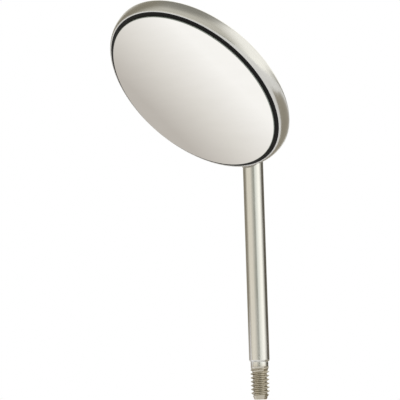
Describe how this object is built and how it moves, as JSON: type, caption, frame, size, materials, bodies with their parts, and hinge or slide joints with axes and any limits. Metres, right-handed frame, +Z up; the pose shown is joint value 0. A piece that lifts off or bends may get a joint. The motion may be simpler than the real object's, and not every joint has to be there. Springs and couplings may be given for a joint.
{
  "type": "dental mouth mirror head",
  "caption": "Round front-surface mirror in a shallow steel pan with a black seal, leaning from a straight stem that ends in a threaded stud for a handle.",
  "frame": {"origin": "on the stem's axis at the shoulder, where the threaded stud starts and the handle's end would seat", "axes": "+Z up the stem to the head; the head leans to -Y and the mirror looks to -Y and down; YZ is the plane of symmetry of all but the thread"},
  "size_m": [0.024, 0.0179, 0.0462],
  "materials": {
    "satin_pan": "stainless steel, turned and satin finished",
    "glass": "clear ground-edge glass",
    "mirror": "front-surface reflecting layer",
    "seal": "black, satin",
    "adhesive": "black, cured",
    "satin_stem": "stainless steel, drawn and polished along its length",
    "weld": "stainless steel, welded and blasted"
  },
  "bodies": {
    "root": {"mirror_pan": "satin_pan", "glass_disc": "glass", "mirror_coating": "mirror", "edge_seal": "seal", "adhesive_bed": "adhesive", "stem": "satin_stem", "weld_fillet": "weld"}
  },
  "joints": []
}
